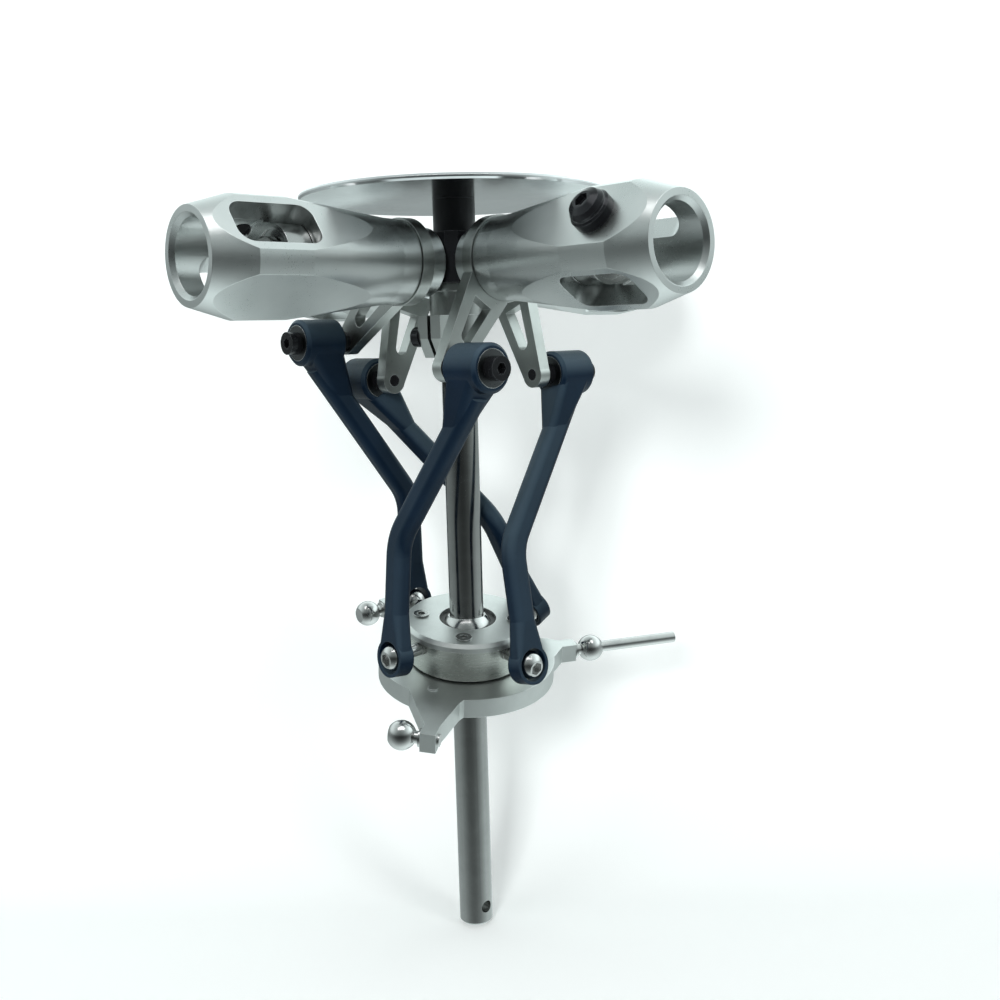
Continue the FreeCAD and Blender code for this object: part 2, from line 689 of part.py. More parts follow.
def pitch_arm(index):
    """Flat arm: a ring on the grip's spigot, a slotted web and a round tip."""
    body = new_body(f"pitch_arm_{index + 1}")
    pad_circle(body, "YZ", "arm_start", "arm_ring_radius", "arm_thickness")
    sketch = new_sketch(body, "YZ", "arm_start")
    draw_polygon(sketch, [("-spigot_radius", "-arm_width"), ("-spigot_radius", "arm_width"),
                          ("-arm_length", "arm_tip_radius * tip_share"),
                          ("-arm_length", "-arm_tip_radius * tip_share")])
    feature(body, "Pad", sketch, "arm_thickness")
    pad_circle(body, "YZ", "arm_start", "arm_tip_radius", "arm_thickness",
               across="-arm_length")
    sketch = new_sketch(body, "YZ", "arm_start")
    draw_polygon(sketch, [("-slot_start", "-slot_wide"), ("-slot_start", "slot_wide"),
                          ("-slot_end", "slot_narrow"), ("-slot_end", "-slot_narrow")])
    feature(body, "Pocket", sketch, "arm_thickness", reverse=True)
    for place_along, radius in (("-slot_end", "slot_narrow"), ("-arm_length",
                                "pivot_radius + seat"), ("0", "spigot_radius + seat")):
        pocket_circle(body, "YZ", "arm_start", radius, "arm_thickness",
                      across=place_along, reverse=True)
    on_grip(body, index)


def screw_piece(index):
    """Cap screw through the link's bearings into the tip of the arm."""
    body = new_body(f"arm_screw_{index + 1}")
    head = "link_head_start + link_head_length"
    top = f"{head} + pivot_head_height"
    turned(body, [("arm_start", "0"), ("arm_start", "pivot_radius"),
                  (head, "pivot_radius"), (head, "pivot_head_radius"),
                  (top, "pivot_head_radius"), (top, "0")], axis="H_Axis")
    cut_hex(body, "YZ", top, "pivot_hex", "pivot_hex_depth")
    on_grip(body, index)
    body.Placement.Base = HUB + arm_direction(index) * size.arm_length
    return body


def pivot_spacer(index):
    """Sleeve that holds the link's bearings clear of the arm."""
    body = new_body(f"pivot_spacer_{index + 1}")
    bore = "pivot_radius + running"
    start = "arm_start + arm_thickness"
    end = "link_head_start"
    turned(body, [(start, bore), (start, "spacer_radius"), (end, "spacer_radius"),
                  (end, bore)], axis="H_Axis")
    on_grip(body, index)
    body.Placement.Base = HUB + arm_direction(index) * size.arm_length
    return body


def pivot_screw(index):
    group(f"pivot_screw_{index + 1}", [screw_piece(index), pivot_spacer(index)])


# ---------------------------------------------------------------- pitch links


def cross_section(body, level, wide, deep, corner, middle="0"):
    """Rounded rectangle across the link at a level."""
    sketch = new_sketch(body, "XY", level)
    draw_rounded(sketch, wide, deep, corner, middle)
    return sketch


def loft(body, first, second):
    """Straight-sided run from one cross section to another."""
    made = body.newObject("PartDesign::AdditiveLoft", f"{body.Name}_loft_{len(body.Group)}")
    made.Profile = first
    made.Sections = [second]
    made.Ruled = True
    return made


def pitch_link(index):
    """Moulded link: bearing housing at the top, cranked rod, flat ring eye at the foot."""
    body = new_body(f"pitch_link_{index + 1}")
    head_middle = "link_head_start + link_head_length / 2"
    head_end = "link_head_start + link_head_length"
    foot_top = "foot_length - link_length"
    profile = cross_section(body, foot_top, "rod_width / 2", "rod_depth / 2", "rod_corner")
    path = new_sketch(body, "XZ")
    draw_path(path, [("0", foot_top), ("0", "-link_bend"), (head_middle, "-link_knee")],
              "bend_radius")
    pipe = body.newObject("PartDesign::AdditivePipe", f"{body.Name}_rod")
    pipe.Profile = profile
    pipe.Spine = path
    pipe.Mode = "Standard"
    slant = f"({head_middle}) * (link_bend - flare_drop) / (link_bend - link_knee)"
    loft(body, cross_section(body, "-flare_drop", "rod_width / 2",
                             "rod_depth / 2 - flare_sink", "rod_corner", slant),
         cross_section(body, "-flare_top", "link_head_length / 2 - flare_room",
                       "link_head_radius - flare_room", "rod_corner", head_middle))
    bevelled = "link_head_radius - link_head_bevel"
    turned(body, [("link_head_start", "0"), ("link_head_start", bevelled),
                  ("link_head_start + link_head_bevel", "link_head_radius"),
                  (f"{head_end} - link_head_bevel", "link_head_radius"),
                  (head_end, bevelled), (head_end, "0")], axis="H_Axis")
    loft(body, cross_section(body, foot_top, "rod_width / 2", "rod_depth / 2", "rod_corner"),
         cross_section(body, "-link_length", "eye_half_width", "eye_thickness / 2",
                       "eye_corner"))
    pad_circle(body, "XZ", None, "eye_radius", "eye_thickness", up="-link_length", both=True)
    pocket_circle(body, "XZ", None, "ball_radius + eye_play", "eye_thickness + rod_depth",
                  up="-link_length", both=True)
    pocket_circle(body, "YZ", "link_head_start", "link_bearing_radius",
                  "link_head_length", reverse=True)
    on_link(body, index)


def link_race(index, word, start):
    body = new_body(f"{word}_race_{index + 1}")
    bore = "pivot_radius + running"
    outer = "link_bearing_radius - seat"
    end = f"{start} + link_bearing_width"
    turned(body, [(start, bore), (start, outer), (end, outer), (end, bore)], axis="H_Axis")
    return on_link(body, index)


def link_bearing(index):
    """Two small ball bearings, one flush with each end of the link's head."""
    far = "link_head_start + link_head_length - link_bearing_width"
    group(f"link_bearing_{index + 1}", [link_race(index, "near", "link_head_start"),
                                        link_race(index, "far", far)])


# ---------------------------------------------------------------- swashplate


def uniball():
    """Polished ball that slides on the mast."""
    body = new_body("uniball")
    sketch = new_sketch(body, "XZ")
    bore = "mast_radius + running"
    draw_bulge(sketch, [(None, "uniball_half"), (None, "-uniball_half"),
                        (bore, "-uniball_half"), (bore, "uniball_half")], 0,
               "uniball_radius")
    turn_sketch(body, sketch)
    body.Placement = Placement(SWASH, Rotation())


def uniball_race():
    """Black liner that holds the ball and fills the hole in the top plate."""
    body = new_body("uniball_race")
    shelf = "plate_top - plate_thickness"
    turned(body, [("0", "-race_bottom"), ("race_radius - seat", "-race_bottom"),
                  ("race_radius - seat", shelf), ("race_neck_radius", shelf),
                  ("race_neck_radius", "race_top"), ("0", "race_top")])
    sketch = new_sketch(body, "XZ")
    draw_bulge(sketch, [("0", None), ("0", None)], 0, "uniball_radius + ball_play")
    turn_sketch(body, sketch, "Groove")
    on_star(body)


def star_body():
    """Turning half of the swashplate, below its top plate."""
    body = new_body("swash_star")
    shelf = "plate_top - plate_thickness"
    turned(body, [("race_radius", "-race_bottom"), ("race_radius", shelf),
                  ("star_radius - groove_depth", shelf),
                  ("star_radius - groove_depth", f"{shelf} - groove_height"),
                  ("star_radius", f"{shelf} - groove_height"),
                  ("star_radius", "-star_bottom"), ("star_spigot_radius", "-star_bottom"),
                  ("star_spigot_radius", "-spigot_bottom"),
                  ("star_hole_radius", "-spigot_bottom"),
                  ("star_hole_radius", "-race_bottom")])
    hole = pocket_circle(body, "YZ", None, "ball_neck + seat", "star_radius",
                         up="ball_level", reverse=True)
    polar(body, hole, "Z", 4)
    sketch = new_sketch(body, "XY", shelf)
    draw_circle(sketch, "plate_screw_circle * cos(45 deg)",
                "plate_screw_circle * sin(45 deg)", "plate_thread_radius + seat")
    hole = feature(body, "Pocket", sketch, "plate_screw_length")
    pattern = polar(body, hole, "Z", 4)
    pattern.Label = "swash_star_screw_holes"
    on_star(body, size.grip_turn)


def top_plate():
    body = new_body("swash_top_plate")
    shelf = "plate_top - plate_thickness"
    turned(body, [("race_neck_radius + running", shelf), ("plate_radius", shelf),
                  ("plate_radius", "plate_top - plate_bevel"),
                  ("plate_radius - plate_bevel", "plate_top"),
                  ("race_neck_radius + running", "plate_top")])
    sketch = new_sketch(body, "XY", "plate_top")
    draw_circle(sketch, "plate_screw_circle * cos(45 deg)",
                "plate_screw_circle * sin(45 deg)", "plate_screw_radius + seat")
    sink = feature(body, "Pocket", sketch, "plate_screw_height - plate_screw_proud")
    polar(body, sink, "Z", 4)
    sketch = new_sketch(body, "XY", "plate_top")
    draw_circle(sketch, "plate_screw_circle * cos(45 deg)",
                "plate_screw_circle * sin(45 deg)", "plate_thread_radius + seat")
    hole = feature(body, "Pocket", sketch, "plate_thickness")
    polar(body, hole, "Z", 4)
    on_star(body, size.grip_turn)


def plate_screw(number):
    body = new_body(f"plate_screw_{number + 1}")
    seat_level = "plate_top - plate_screw_height + plate_screw_proud"
    top = "plate_top + plate_screw_proud"
    low = "plate_top - plate_screw_length"
    turned(body, [("0", low), ("plate_thread_radius", low),
                  ("plate_thread_radius", seat_level), ("plate_screw_radius", seat_level),
                  ("plate_screw_radius", top), ("0", top)])
    cut_hex(body, "XY", top, "plate_screw_hex", "plate_hex_depth")
    turn = size.grip_turn + 45.0 + 90.0 * number
    spot = TILT.multVec(heading(turn)) * size.plate_screw_circle
    return place(body, SWASH + spot, TILT.multVec(heading(turn)), SWASH_UP)


def plate_screws():
    """Four cap screws that hold the top plate down."""
    group("plate_screws", [plate_screw(number) for number in range(4)])


def link_ball(index):
    """Ball stud that screws into the star; the link's eye snaps over it."""
    body = new_body(f"link_ball_{index + 1}")
    ball_outline(body, "ball_radius", "ball_front", "ball_neck",
                 "ball_circle - star_radius", "ball_flange", "ball_flange_height",
                 "stud_hole_depth")
    cut_hex(body, "XY", "ball_front", "hex_half", "ball_hex_depth")
    spoke = TILT.multVec(arm_side(index))
    place(body, ball_centre(index), SWASH_UP, spoke)


def ball_outline(body, radius, front, neck, seat_distance, flange, flange_height, thread):
    """Turned ball stud along Z: ball at the origin, flange against the seat, thread below."""
    sketch = new_sketch(body, "XZ")
    seat_level = f"-({seat_distance})"
    shelf = f"{seat_level} + {flange_height}"
    end = f"{seat_level} - ({thread})"
    draw_bulge(sketch, [("0", front), (None, front), (neck, None), (neck, shelf),
                        (flange, shelf), (flange, seat_level), (neck, seat_level),
                        (neck, end), ("0", end)], 1, radius)
    return turn_sketch(body, sketch)


def swash_bearing():
    """Large thin ball bearing between the star and the outer ring."""
    body = new_body("swash_bearing")
    bore = "star_spigot_radius + running"
    outer = "bearing_outer_radius - seat"
    top = "-ring_top - ring_lip"
    foot = "-ring_bottom"
    turned(body, [(bore, foot), (f"{bore} + ring_rim", foot),
                  (f"{bore} + ring_rim", f"{foot} + seal_recess"),
                  (f"{outer} - ring_rim", f"{foot} + seal_recess"),
                  (f"{outer} - ring_rim", foot), (outer, foot), (outer, top), (bore, top)])
    on_star(body)


# each ear: its direction, its reach, and the turn from it to the way its stud points
EARS = dict(front=("front_ear_angle", "front_ear_reach", -90.0),
            rear=("rear_ear_angle", "rear_ear_reach", 90.0),
            side=("side_ear_angle", "side_ear_reach", 0.0))


def stud_seat(name):
    """Where a servo stud meets its ear, and the way it points, in the ring's own frame."""
    angle, reach, turn = EARS[name]
    along = value(angle)
    level = UP * -(size.ring_top + size.ring_bottom) / 2
    out = heading(along + turn)
    if turn == 0.0:
        return heading(along) * value(reach) + level, out
    middle = heading(along) * (value(reach) - size.ear_tip_length / 2)
    return middle + out * size.ear_half_width + level, out


def ear_outline(angle, reach):
    """Swept ear: long slant on the leading side, short on the trailing side, square tip."""
    lead = f"({angle} - ear_lead) * 1 deg"
    trail = f"({angle} + ear_trail) * 1 deg"
    root = f"({angle} + ear_trail * 2) * 1 deg"
    along = f"{angle} * 1 deg"
    inner = "(bearing_outer_radius + ring_radius) / 2"
    tip = []
    for far, side in ((f"({reach} - ear_tip_length)", "ear_half_width"),
                      (reach, "ear_half_width"), (reach, "-ear_half_width"),
                      (f"({reach} - ear_tip_length)", "-ear_half_width")):
        tip.append((f"{far} * cos({along}) + {side} * sin({along})",
                    f"{far} * sin({along}) - {side} * cos({along})"))
    return [(f"{inner} * cos({lead})", f"{inner} * sin({lead})"),
            (f"ear_root_radius * cos({lead})", f"ear_root_radius * sin({lead})"),
            *tip,
            (f"(ring_radius + 1) * cos({trail})", f"(ring_radius + 1) * sin({trail})"),
            (f"{inner} * cos({root})", f"{inner} * sin({root})")]


def outer_ring():
    """Fixed half of the swashplate: ring with three swept ears for the servo balls."""
    body = new_body("swash_outer_ring")
    turned(body, [("ring_lip_radius", "-ring_top"), ("ring_radius", "-ring_top"),
                  ("ring_radius", "-ring_bottom"), ("bearing_outer_radius", "-ring_bottom"),
                  ("bearing_outer_radius", "-ring_top - ring_lip"),
                  ("ring_lip_radius", "-ring_top - ring_lip")])
    for name, (angle, reach, _) in EARS.items():
        sketch = new_sketch(body, "XY", "-ring_bottom")
        draw_polygon(sketch, ear_outline(angle, reach))
        feature(body, "Pad", sketch, "ring_bottom - ring_top")
    mark = "mark_angle * 1 deg"
    pad_circle(body, "XY", "-ring_top", "mark_radius", "mark_height",
               f"mark_circle * cos({mark})", f"mark_circle * sin({mark})")
    for name in EARS:
        seat_point, out = stud_seat(name)
        hole = body.newObject("PartDesign::SubtractiveCylinder", f"stud_hole_{name}")
        bind(hole, "Radius", "servo_neck + seat")
        bind(hole, "Height", "stud_hole_depth")
        hole.Placement = Placement(seat_point, Rotation(UP, out * -1))
    on_star(body)


def on_ear(body, name):
    """Place a stud, drawn along Z from its ball's centre, on its ear."""
    seat_point, out = stud_seat(name)
    centre = seat_point + out * size.servo_stand_off
    place(body, SWASH + TILT.multVec(centre), SWASH_UP, TILT.multVec(out))


def servo_stud(body):
    ball_outline(body, "ball_radius", "ball_front", "servo_neck", "servo_stand_off",
                 "servo_flange", "servo_flange_height", "stud_hole_depth - seat")


def servo_ball(name):
    """Ball stud on an ear of the outer ring, for a servo rod."""
    body = new_body(f"servo_ball_{name}")
    servo_stud(body)
    on_ear(body, name)


def guide_pin():
    """Side ball with a long pin that runs in a guide and stops the ring turning."""
    body = new_body("anti_rotation_pin")
    servo_stud(body)
    pad_circle(body, "XY", "ball_front", "pin_radius",
               "pin_reach - side_ear_reach - servo_stand_off - ball_front")
    on_ear(body, "side")


# ---------------------------------------------------------------- build, check, write

main_shaft()
hub_block()
top_post()
top_disc()
disc_screw()
clamp_collar()
clamp_screw()
for quadrant in range(4):
    spindle(quadrant)
    radial_bearings(quadrant)
    thrust_bearing(quadrant)
    blade_grip(quadrant)
    pitch_arm(quadrant)
    pivot_screw(quadrant)
    pitch_link(quadrant)
    link_bearing(quadrant)
    link_ball(quadrant)
    grip_bolt(quadrant)
uniball()
uniball_race()
star_body()
top_plate()
plate_screws()
swash_bearing()
outer_ring()
servo_ball("front")
servo_ball("rear")
guide_pin()

doc.recompute()
for item in doc.Objects:
    if "Invalid" in item.State or "Error" in item.State:
        raise RuntimeError(f"{item.Label}: {item.State}")
for piece in SUBPARTS:
    if piece.Shape.isNull() or not piece.Shape.isValid():
        raise RuntimeError(f"{piece.Label}: no valid shape")

os.makedirs("parts", exist_ok=True)
for piece in SUBPARTS:
    piece.Shape.exportStep(f"parts/{piece.Label}.step")
print(len(SUBPARTS), "sub-parts;", "pitch arm droop",
      [round(arm_droop(quadrant), 2) for quadrant in range(4)])
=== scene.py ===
"""Looks of a model helicopter's four-blade rotor head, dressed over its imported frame.

Lengths are in metres, in the frame's own axes: the mast's foot is the origin and Z is up.
"""
import math

import bmesh
import bpy
from mathutils import Matrix, Vector

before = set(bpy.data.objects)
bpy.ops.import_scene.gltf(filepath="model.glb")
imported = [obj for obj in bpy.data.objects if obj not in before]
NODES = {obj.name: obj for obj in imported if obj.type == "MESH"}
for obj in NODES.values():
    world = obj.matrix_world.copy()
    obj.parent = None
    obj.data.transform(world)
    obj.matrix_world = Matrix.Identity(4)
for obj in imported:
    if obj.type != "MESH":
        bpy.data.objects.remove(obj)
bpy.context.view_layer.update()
QUADRANTS = (1, 2, 3, 4)
SHARP_ANGLE = math.radians(28)

# ---------------------------------------------------------------- node helpers


class Shader:
    """A material's node tree, with short calls to add and join nodes."""

    def __init__(self, name, **settings):
        self.material = bpy.data.materials.new(name)
        self.material.use_nodes = True
        self.tree = self.material.node_tree
        self.tree.nodes.clear()
        self.surface = self.add("ShaderNodeBsdfPrincipled")
        output = self.add("ShaderNodeOutputMaterial")
        self.link(self.surface.outputs["BSDF"], output.inputs["Surface"])
        for socket, number in settings.items():
            self.surface.inputs[socket.replace("_", " ")].default_value = number

    def add(self, kind, **settings):
        node = self.tree.nodes.new(kind)
        for word, setting in settings.items():
            setattr(node, word, setting)
        return node

    def link(self, source, target):
        self.tree.links.new(source, target)

    def place(self):
        """The point on the piece, in metres in the frame's axes."""
        return self.add("ShaderNodeTexCoord").outputs["Object"]

    def noise(self, size, detail=4.0, roughness=0.55, stretch=(1, 1, 1), distortion=0.0):
        """Noise whose grains are about size metres across."""
        grain = self.add("ShaderNodeTexNoise")
        grain.inputs["Scale"].default_value = 1.0
        grain.inputs["Detail"].default_value = detail
        grain.inputs["Roughness"].default_value = roughness
        grain.inputs["Distortion"].default_value = distortion
        mapping = self.add("ShaderNodeMapping")
        mapping.inputs["Scale"].default_value = [1.0 / (size * part) for part in stretch]
        self.link(self.place(), mapping.inputs["Vector"])
        self.link(mapping.outputs["Vector"], grain.inputs["Vector"])
        return grain.outputs["Fac"]

    def span(self, source, low, high, start=0.0, end=1.0):
        """Spread start..end of a value over low..high."""
        node = self.add("ShaderNodeMapRange")
        node.inputs["From Min"].default_value = start
        node.inputs["From Max"].default_value = end
        node.inputs["To Min"].default_value = low
        node.inputs["To Max"].default_value = high
        self.link(source, node.inputs["Value"])
        return node.outputs["Result"]

    def sum(self, *sources):
        total = sources[0]
        for source in sources[1:]:
            node = self.add("ShaderNodeMath", operation="ADD")
            self.link(total, node.inputs[0])
            self.link(source, node.inputs[1])
            total = node.outputs[0]
        return total

    def ramp(self, source, *stops):
        """Colours along a value: pairs of place and (r, g, b)."""
        node = self.add("ShaderNodeValToRGB")
        marks = node.color_ramp.elements
        while len(marks) < len(stops):
            marks.new(0.5)
        for mark, (spot, colour) in zip(marks, stops):
            mark.position = spot
            mark.color = (*colour, 1.0)
        self.link(source, node.inputs["Fac"])
        return node.outputs["Color"]

    def edges(self, radius):
        """How far the surface turns within radius: 0 on faces and up to 1 on edges."""
        bevel = self.add("ShaderNodeBevel", samples=6)
        bevel.inputs["Radius"].default_value = radius
        flat = self.add("ShaderNodeNewGeometry")
        dot = self.add("ShaderNodeVectorMath", operation="DOT_PRODUCT")
        self.link(bevel.outputs["Normal"], dot.inputs[0])
        self.link(flat.outputs["Normal"], dot.inputs[1])
        return self.span(dot.outputs["Value"], 1.0, 0.0, 0.86, 0.995)

    def facing(self, *direction):
        """How far the surface faces a direction, up to 1."""
        flat = self.add("ShaderNodeNewGeometry")
        dot = self.add("ShaderNodeVectorMath", operation="DOT_PRODUCT")
        dot.inputs[1].default_value = direction
        self.link(flat.outputs["Normal"], dot.inputs[0])
        return dot.outputs["Value"]

    def mix(self, share, first, second):
        """Colours mixed by a value."""
        node = self.add("ShaderNodeMix", data_type="RGBA")
        self.link(share, node.inputs["Factor"])
        for source, socket in ((first, node.inputs[6]), (second, node.inputs[7])):
            if isinstance(source, tuple):
                socket.default_value = (*source, 1.0)
            else:
                self.link(source, socket)
        return node.outputs[2]

    def bump(self, height, strength, distance, soften=None):
        """Relief from a height; soften rounds the sharp edges by that radius."""
        node = self.add("ShaderNodeBump")
        node.inputs["Strength"].default_value = strength
        node.inputs["Distance"].default_value = distance
        self.link(height, node.inputs["Height"])
        if soften:
            bevel = self.add("ShaderNodeBevel", samples=6)
            bevel.inputs["Radius"].default_value = soften
            self.link(bevel.outputs["Normal"], node.inputs["Normal"])
        self.link(node.outputs["Normal"], self.surface.inputs["Normal"])

    def drive(self, socket, source):
        self.link(source, self.surface.inputs[socket])


def dress(material, *names):
    for name in names:
        mesh = NODES[name].data
        mesh.materials.clear()
        mesh.materials.append(material)


def each(word):
    return [f"{word}_{number}" for number in QUADRANTS]


# ---------------------------------------------------------------- materials


def blasted_aluminium():
    """Satin bead-blasted and clear anodised aluminium, brighter along the edges: partly
    wear, partly a painted highlight.
    """
    shader = Shader("blasted_aluminium", Metallic=1.0)
    broad = shader.noise(0.011, 3.0)
    fine = shader.noise(0.00022, 3.0, 0.65)
    body = shader.ramp(broad, (0.3, (0.63, 0.655, 0.65)), (0.7, (0.72, 0.735, 0.73)))
    # Edges paler in colour: partly wear, partly a painted highlight on the chamfers.
    wear_and_edge_highlight = shader.edges(0.00018)
    shader.drive("Base Color", shader.mix(wear_and_edge_highlight, body, (0.86, 0.87, 0.865)))
    smooth = shader.span(fine, 0.27, 0.37, 0.3, 0.7)
    shader.drive("Roughness", shader.sum(smooth, shader.span(broad, -0.03, 0.03, 0.3, 0.7)))
    shader.bump(fine, 0.22, 0.00003, 0.00012)
    return shader.material


def milled_aluminium(name, tone, rough, stretch):
    """Bright cut aluminium with faint tool marks."""
    shader = Shader(name, Metallic=1.0)
    broad = shader.noise(0.006, 3.0)
    marks = shader.noise(0.00025, 3.0, 0.7, stretch)
    low = tuple(part * 0.88 for part in tone)
    body = shader.ramp(broad, (0.3, low), (0.7, tone))
    # Edges paler in colour: partly wear, partly a painted highlight on the chamfers.
    shader.drive("Base Color", shader.mix(shader.edges(0.00015), body, (0.88, 0.885, 0.88)))
    shader.drive("Roughness", shader.span(marks, rough * 0.85, rough * 1.25, 0.3, 0.7))
    shader.bump(marks, 0.08, 0.00002, 0.0001)
    return shader.material


def polished_steel(name, tone, rough):
    """Ground and polished steel with fine lines and faint fingerprints."""
    shader = Shader(name, Metallic=1.0)
    lines = shader.noise(0.00012, 2.0, 0.6, (30, 30, 1))
    film = shader.noise(0.004, 4.0, 0.6, distortion=0.6)
    low = tuple(part * 0.9 for part in tone)
    shader.drive("Base Color", shader.ramp(film, (0.35, low), (0.65, tone)))
    film_rough = shader.span(film, rough * 0.8, rough * 1.5, 0.35, 0.7)
    shader.drive("Roughness", shader.sum(film_rough, shader.span(lines, 0.0, 0.02)))
    shader.bump(lines, 0.05, 0.00001, 0.00008)
    return shader.material


def moulded_plastic():
    """Dark slate-blue satin plastic, paler where it faces up and forward: a painted
    highlight from the light above.
    """
    shader = Shader("moulded_plastic", Specular_IOR_Level=0.25,
                    Specular_Tint=(0.6, 0.82, 1.0, 1.0))
    broad = shader.noise(0.009, 3.0)
    grain = shader.noise(0.0003, 3.0, 0.6)
    body = shader.ramp(broad, (0.3, (0.0015, 0.007, 0.018)), (0.7, (0.003, 0.011, 0.027)))
    # Painted light: surfaces facing up and forward are made paler, as if lit from above.
    painted_top_light = shader.span(shader.facing(0.0, -0.35, 0.94), 0.0, 0.7, 0.15, 1.0)
    body = shader.mix(painted_top_light, body, (0.08, 0.12, 0.15))
    # Edges paler in colour: partly rubbed wear, partly a painted highlight.
    rub_and_edge_highlight = shader.edges(0.0003)
    shader.drive("Base Color", shader.mix(shader.span(rub_and_edge_highlight, 0.0, 0.5), body,
                                          (0.03, 0.05, 0.07)))
    shader.drive("Roughness", shader.span(grain, 0.34, 0.5, 0.3, 0.7))
    shader.bump(grain, 0.2, 0.00003, 0.0003)
    return shader.material


def black_finish(name, tone, rough, metal):
    """Blackened or black anodised metal with edges slightly bright: partly rubbed wear,
    partly a painted highlight.
    """
    shader = Shader(name, Metallic=metal)
    grain = shader.noise(0.00025, 3.0, 0.6)
    broad = shader.noise(0.004, 3.0)
    body = shader.ramp(broad, (0.3, tuple(part * 0.75 for part in tone)), (0.7, tone))
    # Edges paler in colour: partly rubbed wear, partly a painted highlight.
    rub_and_edge_highlight = shader.span(shader.edges(0.00012), 0.0, 0.6)
    shader.drive("Base Color", shader.mix(rub_and_edge_highlight, body, (0.16, 0.17, 0.18)))
    shader.drive("Roughness", shader.span(grain, rough * 0.8, rough * 1.3, 0.3, 0.7))
    shader.bump(grain, 0.15, 0.00002, 0.0001)
    return shader.material


STEEL = polished_steel("polished_steel", (0.56, 0.565, 0.56), 0.13)
MAST = polished_steel("mast_steel", (0.47, 0.475, 0.47), 0.15)
BALLS = polished_steel("ball_steel", (0.66, 0.66, 0.655), 0.16)
BLASTED = blasted_aluminium()
CUT = milled_aluminium("cut_aluminium", (0.58, 0.60, 0.585), 0.32, (1, 1, 6))
TURNED = milled_aluminium("turned_aluminium", (0.70, 0.72, 0.68), 0.28, (8, 8, 1))
PLATE = milled_aluminium("satin_plate", (0.72, 0.74, 0.73), 0.4, (1, 1, 1))
DISC = milled_aluminium("disc_aluminium", (0.80, 0.815, 0.83), 0.16, (6, 6, 1))
PLASTIC = moulded_plastic()
ANODISED = black_finish("black_anodised", (0.016, 0.017, 0.02), 0.34, 0.3)
BLACK_STEEL = black_finish("black_steel", (0.02, 0.021, 0.024), 0.2, 0.6)
LINER = black_finish("ball_liner", (0.018, 0.018, 0.018), 0.4, 0.0)
SHIELD = milled_aluminium("bearing_shield", (0.12, 0.125, 0.13), 0.3, (1, 1, 1))
BEARING = milled_aluminium("bearing_steel", (0.42, 0.425, 0.42), 0.2, (1, 1, 1))

dress(MAST, "main_shaft")
dress(STEEL, *each("spindle"))
dress(BALLS, "uniball", "servo_ball_front", "servo_ball_rear", "anti_rotation_pin",
      *each("link_ball"))
dress(BLASTED, *each("blade_grip"))
dress(PLATE, "swash_outer_ring", "swash_top_plate")
dress(CUT, *each("pitch_arm"), "clamp_collar")
dress(TURNED, "swash_star")
dress(DISC, "top_disc", "disc_screw")
dress(ANODISED, "hub_block", "top_post")
dress(BLACK_STEEL, *each("grip_bolt"), *each("pivot_screw"), "clamp_screw")
dress(LINER, "uniball_race")
dress(BEARING, *each("grip_bearings"), *each("thrust_bearing"), "swash_bearing",
      "plate_screws")
dress(SHIELD, *each("link_bearing"))
dress(PLASTIC, *each("pitch_link"))

for node in NODES.values():
    node.data.shade_smooth()
    node.data.set_sharp_from_angle(angle=SHARP_ANGLE)

# ---------------------------------------------------------------- floor, light and camera

MIDDLE = (0.0, 0.0, 0.09)
WHITE = (1.0, 1.0, 1.0, 1.0)

# the sheet: a level floor from PAPER_FRONT to PAPER_START, a curve, and a leaning backdrop
PAPER_COLOUR = (0.84, 0.885, 0.875, 1.0)
PAPER_GLOW = 0.22
PAPER_FOOT = -0.0005
PAPER_REACH = 2.5
PAPER_FRONT = -0.42
PAPER_START = 0.004
PAPER_CURVE = 0.03
PAPER_LEAN = math.radians(16.0)
PAPER_STEPS = 16

# the even light that fills the shadows, and the room that only reflections see: each entry
# of ROOM is a direction and the tones from straight away from it to straight towards it
FILL_COLOUR = (0.9, 0.96, 1.0, 1.0)
FILL = 0.15
ROOM_RADIUS = 0.6
ROOM_STRENGTH = 1.85
ROOM_TINT = (0.88, 1.0, 0.99)
ROOM = (((0.0, 0.0, 1.0), ((0.0, 0.75), (0.25, 0.42), (0.45, 0.22), (0.55, 0.31),
                           (0.64, 0.85), (0.75, 1.0), (1.0, 0.42))),
        ((0.03, -1.0, 0.1), ((0.0, 1.0), (0.5, 0.95), (0.7, 0.6), (0.88, 0.25),
                             (1.0, 0.1))),
        ((1.0, 0.0, 0.0), ((0.0, 0.6), (0.3, 0.7), (0.5, 0.85), (0.7, 1.0))))

PITCH, YAW, ROLL = 0.1495, -0.00685, -0.02715
CAMERA_SPOT = (0.00774, -0.19072, 0.10668)
CAMERA_LENS = 39.84
CAMERA_SENSOR = 36.0
CAMERA_NEAR, CAMERA_FAR = 0.01, 20.0


def join_shaders(tree, share, first, second):
    """Two shaders mixed by a value."""
    node = tree.nodes.new("ShaderNodeMixShader")
    tree.links.new(share, node.inputs["Fac"])
    tree.links.new(first, node.inputs[1])
    tree.links.new(second, node.inputs[2])
    return node.outputs["Shader"]


def seen_directly(tree):
    """1 where the camera, a mirror or glass looks, and 0 for the light that spreads."""
    path = tree.nodes.new("ShaderNodeLightPath")
    total = path.outputs["Is Camera Ray"]
    for word in ("Is Glossy Ray", "Is Transmission Ray"):
        node = tree.nodes.new("ShaderNodeMath")
        node.operation = "MAXIMUM"
        tree.links.new(total, node.inputs[0])
        tree.links.new(path.outputs[word], node.inputs[1])
        total = node.outputs["Value"]
    return total


